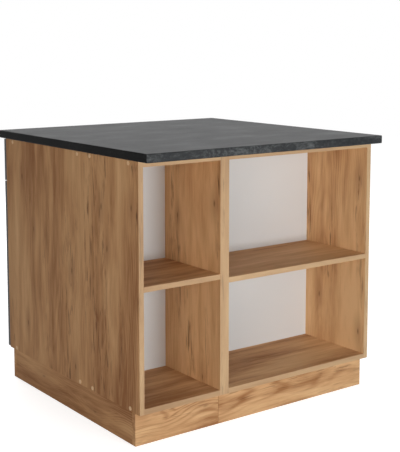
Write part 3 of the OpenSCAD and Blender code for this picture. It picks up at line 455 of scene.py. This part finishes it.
finish, tree, shader = new_finish("slate laminate", Specular_IOR_Level=0.03, Coat_IOR=1.25,
                                  Coat_Roughness=0.55)
spots = add(tree, "ShaderNodeTexCoord").outputs
place = spots["Object"]
drift = cloud(tree, stretch(tree, place, *drift_waves), 2.0, out="Color")
drift = add(tree, "ShaderNodeVectorMath", {0: drift, 1: (0.5, 0.5, 0.5)},
            operation="SUBTRACT").outputs[0]
drift = add(tree, "ShaderNodeVectorMath", {0: place, 1: stretch(tree, drift, *drift_reach)},
            operation="ADD").outputs[0]
veil = cloud(tree, stretch(tree, drift, *veil_waves), 5.0, 0.62)
grit = cloud(tree, stretch(tree, drift, *grit_waves), 4.0, 0.66)
tone = calc(tree, "ADD", calc(tree, "MULTIPLY", veil, veil_share),
            calc(tree, "MULTIPLY", grit, grit_share))
slate = ramp(tree, tone, (slate_dark_at, slate_dark), (slate_ground_at, slate_ground),
             (slate_pale_at, slate_pale))
ends, long_edges, faces = (turned_to(tree, spots["Normal"], axis) for axis in "XYZ")
calm = blend_colour(tree, calc(tree, "MULTIPLY", faces, face_calm), slate, chip(*slate_ground))
# Painted shade: the faces looking along X, the two ends, are painted near black.
painted_shade_ends = blend_colour(tree, calc(tree, "MULTIPLY", ends, end_painted_shade_cover), calm, chip(*end_painted_shade_black))
seal = calc(tree, "MULTIPLY", faces, calc(tree, "MULTIPLY_ADD", veil, face_seal_veil, face_seal))
seal = calc(tree, "MULTIPLY_ADD", long_edges, edge_seal, seal)
tree.links.new(painted_shade_ends, shader.inputs["Base Color"])
tree.links.new(calc(tree, "MULTIPLY_ADD", grit, 0.24, 0.38), shader.inputs["Roughness"])
tree.links.new(seal, shader.inputs["Coat Weight"])
press(tree, shader, grit, 0.25, 0.0004)
dress("worktop", finish, slate_round)

# ---------------------------------------------------------------------------------- fronts
# Doors and drawer front are milled fibreboard under a matt graphite film that is drawn down
# into the grooves. The film has a very fine tooth and no pattern.

front_film = (58, 58, 60)
front_film_worn = (63, 63, 65)
front_round = 0.0012
film_waves, tooth_waves = (7, 7, 7), (900, 900, 900)

finish, tree, shader = new_finish("graphite film", Specular_IOR_Level=0.25)
place = add(tree, "ShaderNodeTexCoord").outputs["Object"]
soft = fade(tree, cloud(tree, stretch(tree, place, *film_waves), 3.0), 0.3, 0.7)
tooth = cloud(tree, stretch(tree, place, *tooth_waves), 2.0, 0.6)
tree.links.new(blend_colour(tree, soft, chip(*front_film), chip(*front_film_worn)),
               shader.inputs["Base Color"])
tree.links.new(calc(tree, "MULTIPLY_ADD", tooth, 0.14, 0.42), shader.inputs["Roughness"])
press(tree, shader, tooth, 0.20, 0.0002)
for front in ("single_door", "left_door", "right_door", "drawer_front"):
    dress(front, finish, front_round)

# --------------------------------------------------------------------------------- handles
# Slim bars on two posts, die-cast and black powder coated. Two screws from inside hold each
# one to its front. The coat has a fine orange peel.

handle_tones = (34, 34, 35), (42, 42, 43)
handle_round = 0.0012


def grained(name, tones, waves, gloss, relief=None, spread=(0.3, 0.7), detail=(3.0, 0.6),
            **sockets):
    """A finish whose tone, roughness and relief all follow one fine grain."""
    finish, tree, shader = new_finish(name, **sockets)
    place = add(tree, "ShaderNodeTexCoord").outputs["Object"]
    grain = cloud(tree, stretch(tree, place, *waves), *detail)
    share = fade(tree, grain, *spread) if spread else grain
    tree.links.new(blend_colour(tree, share, *(chip(*tone) for tone in tones)),
                   shader.inputs["Base Color"])
    tree.links.new(calc(tree, "MULTIPLY_ADD", grain, *gloss), shader.inputs["Roughness"])
    if relief:
        press(tree, shader, grain, *relief)
    return finish


powder = grained("black powder coat", handle_tones, (650, 650, 650), (0.2, 0.32), (0.3, 0.0003),
                 spread=(0.35, 0.65), detail=(2.0, 0.5), IOR=1.5)
for handle in ("single_door_handle", "left_door_handle", "right_door_handle", "drawer_handle"):
    dress(handle, powder, handle_round)

# -------------------------------------------------------------------------- drawer's boards
# The drawer's sides and ends are 16 mm boards in a pale grey decor with a linen grain, and its
# base is a board like the backs, slid into grooves in them.

box_tones = (196, 195, 192), (206, 205, 202)

linen = grained("pale grey board", box_tones, (300, 40, 300), (0.12, 0.42), (0.15, 0.0002),
                IOR=1.45)
for board in ("drawer_sides", "drawer_ends"):
    dress(board, linen, edge_round)
dress("drawer_base", fibreboard)

# ------------------------------------------------------------------------ legs and plastics
# Black moulded plastic: leg tubes with their flanges, screwed feet, plinth clips, and the cages
# that hold the runners' balls. The mould's spark-eroded texture leaves a fine matt grain.

plastic_tones = (24, 24, 25), (36, 36, 37)

moulded = grained("black moulded plastic", plastic_tones, (1200, 1200, 1200), (0.3, 0.35),
                  (0.3, 0.0002), spread=None, IOR=1.46)
for plastic in ("leg_tubes", "leg_feet", "plinth_clips", "runner_ball_cages"):
    dress(plastic, moulded)

# ------------------------------------------------------------------------------ screw caps
# Small round caps, moulded in a pale oak colour, are pressed into the heads of the carcass
# screws and hide them on the two ends.

cap_tones = (222, 186, 140), (230, 198, 154)
cap_round = 0.0003

cap = grained("oak coloured cap", cap_tones, (500, 500, 500), (0.2, 0.35), spread=(0.35, 0.65),
              detail=(3.0, 0.5), IOR=1.46)
dress("screw_caps", cap, cap_round)

# ---------------------------------------------------------------------------------- metals
# Hinges, runners, pins and connectors are zinc plated steel, and the wood screws yellow zinc
# plated. The plating is bright, with the faint streaks of drawn metal along the runners.

zinc_tones = (178, 181, 185), (206, 208, 211)
yellow_tones = (190, 160, 96), (214, 190, 128)


def plated(name, tones, fine):
    """A plated steel finish, streaked from front to back."""
    return grained(name, tones, (fine, fine / 12, fine), (0.25, 0.22), (0.08, 0.0002), Metallic=1.0)


zinc = plated("zinc plated steel", zinc_tones, 700)
for steel in ("shelf_pins", "unit_connectors", "hinge_plates", "hinge_arms", "runner_case_members",
              "runner_middle_members", "runner_drawer_members", "single_door_hinge_cups",
              "left_door_hinge_cups", "right_door_hinge_cups"):
    dress(steel, zinc)
yellow = plated("yellow zinc plated steel", yellow_tones, 900)
for screw in ("carcass_screws", "worktop_screws", "single_door_handle_screws",
              "left_door_handle_screws", "right_door_handle_screws", "drawer_handle_screws"):
    dress(screw, yellow)

# -------------------------------------------------------------------- hinge and runner screws
# Small zinc plated screws with a cross recess: two hold each hinge plate to its side board, two
# hold each cup's wings in the door, two adjust each arm, and three hold each runner's case
# member and three its drawer member.

screw_sides = 20
plate_screw = (0.0042, 0.0011, 0.0023)      # head's radius, head's rise, shank's radius
cup_screw = (0.0030, 0.0009, 0.0016)
arm_screw = (0.0027, 0.0005, 0.0020)
runner_screw = (0.0036, 0.0011, 0.0018)
shoulder_rise, crown_reach = 0.4, 0.8       # of the head's rise, and of its radius
recess_half, recess_reach = 0.13, 0.62      # of the head's radius
recess_floor, recess_taper = 0.35, 0.8      # of the head's rise, and of the recess's mouth
hinges = [
    # outer edge of the unit, way into the unit, heights of its two hinges, door
    (-0.450, 1, (0.202, 0.718), "single_door"),
    (-0.150, 1, (0.202, 0.575), "left_door"),
    (0.450, -1, (0.202, 0.575), "right_door"),
]
board_t, plate_t = 0.016, 0.002
door_back, wing_t = -0.409, 0.0006
plate_row, plate_pitch = -0.370, 0.016      # the plate's screws: depth, and above and below
wing_in, wing_pitch = 0.0225, 0.022         # cup's middle from the door's edge, and its screws
arm_top, arm_rows, arm_bite = 0.0264, (-0.381, -0.357), 0.0003
runner_sides = [(-0.134, 1), (0.434, -1)]   # inner face of the side board, way into the unit
runner_height, runner_rows = 0.726, (-0.367, -0.175, 0.017)
case_web, drawer_web = 0.0012, 0.0115       # outer faces of the two members, from the side board


def ring_of(mesh, turn, radius, height):
    """A ring of corners round the screw's axis."""
    return [mesh.verts.new(turn @ Vector((radius * cos(angle), radius * sin(angle), height)))
            for angle in (2 * pi * step / screw_sides for step in range(screw_sides))]


def skin(mesh, lower, upper, smooth=False):
    """Faces between two closed rows of corners."""
    for at in range(len(lower)):
        after = (at + 1) % len(lower)
        mesh.faces.new((lower[at], lower[after], upper[after], upper[at])).smooth = smooth


def cross_screw(mesh, turn, radius, rise, shank, depth):
    """A low head with a cross recess standing on the plane that turn gives, over a short shank."""
    tip, neck = ring_of(mesh, turn, shank, -depth), ring_of(mesh, turn, shank, 0)
    rim = ring_of(mesh, turn, radius, 0)
    shoulder = ring_of(mesh, turn, radius, rise * shoulder_rise)
    crown = ring_of(mesh, turn, radius * crown_reach, rise)
    mesh.faces.new(reversed(tip))
    for lower, upper in ((tip, neck), (neck, rim), (rim, shoulder)):
        skin(mesh, lower, upper)
    skin(mesh, shoulder, crown, smooth=True)
    half, reach = radius * recess_half, radius * recess_reach
    arm = [(half, half), (half, reach), (-half, reach)]
    cross = [(x * cos(a) - y * sin(a), x * sin(a) + y * cos(a))
             for a in (0, pi / 2, pi, 3 * pi / 2) for x, y in arm]
    low = rise * recess_floor
    mouth = [mesh.verts.new(turn @ Vector((x, y, rise))) for x, y in cross]
    bottom = [mesh.verts.new(turn @ Vector((x * recess_taper, y * recess_taper, low)))
              for x, y in cross]
    skin(mesh, bottom, mouth)
    mesh.faces.new(bottom)
    rows = [mesh.edges.get((row[at], row[(at + 1) % len(row)]))
            for row in (crown, mouth) for at in range(len(row))]
    bmesh.ops.triangle_fill(mesh, use_beauty=True, use_dissolve=False, edges=rows)


def facing(way, place):
    """A turn that lays the screw's axis along X, towards way, at a place."""
    return Matrix.Translation(place) @ Matrix.Rotation(way * pi / 2, 4, "Y")


def hang(mesh, name, body):
    """Finishes a set of screws and lets it ride with its body."""
    bmesh.ops.recalc_face_normals(mesh, faces=mesh.faces)
    made = link_mesh(mesh, name)
    made.data.materials.append(zinc)
    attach(made, body)


plates, arms = bmesh.new(), bmesh.new()
for edge, way, heights, door in hinges:
    wings = bmesh.new()
    for height in heights:
        for side in (-1, 1):
            place = (edge + way * (board_t + plate_t), plate_row, height + side * plate_pitch)
            cross_screw(plates, facing(way, place), *plate_screw, plate_t)
            place = (edge + way * wing_in, door_back + wing_t, height + side * wing_pitch)
            turn = Matrix.Translation(place) @ Matrix.Rotation(-pi / 2, 4, "X")
            cross_screw(wings, turn, *cup_screw, wing_t)
        for row in arm_rows:
            place = (edge + way * arm_top, row, height)
            cross_screw(arms, facing(way, place), *arm_screw, arm_bite)
    hang(wings, f"{door}_cup_screws", f"{door}_leaf")
hang(plates, "hinge_plate_screws", "island")
hang(arms, "hinge_arm_screws", "island")

case_side, drawer_side = bmesh.new(), bmesh.new()
for board, way in runner_sides:
    for row in runner_rows:
        place = (board + way * case_web, row, runner_height)
        cross_screw(case_side, facing(way, place), *runner_screw, case_web)
        place = (board + way * drawer_web, row, runner_height)
        cross_screw(drawer_side, facing(-way, place), *runner_screw, case_web)
hang(case_side, "runner_case_screws", "island")
hang(drawer_side, "runner_drawer_screws", "drawer")
